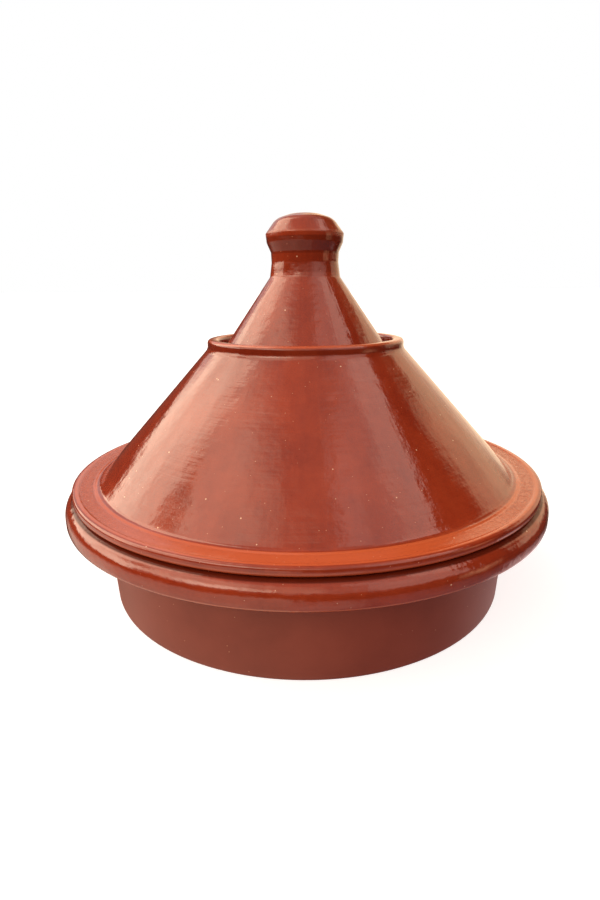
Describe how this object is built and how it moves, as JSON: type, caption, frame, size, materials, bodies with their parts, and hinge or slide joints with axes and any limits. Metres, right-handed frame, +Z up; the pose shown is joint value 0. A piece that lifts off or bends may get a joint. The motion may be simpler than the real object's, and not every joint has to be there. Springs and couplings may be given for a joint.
{
  "type": "tagine pot",
  "caption": "Terracotta tagine: shallow dish with a thick rolled rim, conical flanged lid with a collar, and a knobbed cap that sits in the collar.",
  "frame": {"origin": "centre of the dish's foot, on the surface it stands on", "axes": "+Z up along the pot's axis of revolution; X and Y level, with no special direction because the pot is round"},
  "size_m": [0.32, 0.32, 0.2394],
  "materials": {
    "dish_terracotta": "satin",
    "glazed_terracotta": "gloss"
  },
  "bodies": {
    "dish": {"dish": "dish_terracotta"},
    "lid": {"lid": "glazed_terracotta"},
    "cap": {"cap": "glazed_terracotta"}
  },
  "joints": [
    {"name": "lid_lift", "type": "slide", "parent": "dish", "child": "lid", "axis": [0, 0, 1], "range_m": [0, 0.15]},
    {"name": "cap_lift", "type": "slide", "parent": "lid", "child": "cap", "axis": [0, 0, 1], "range_m": [0, 0.08]}
  ]
}
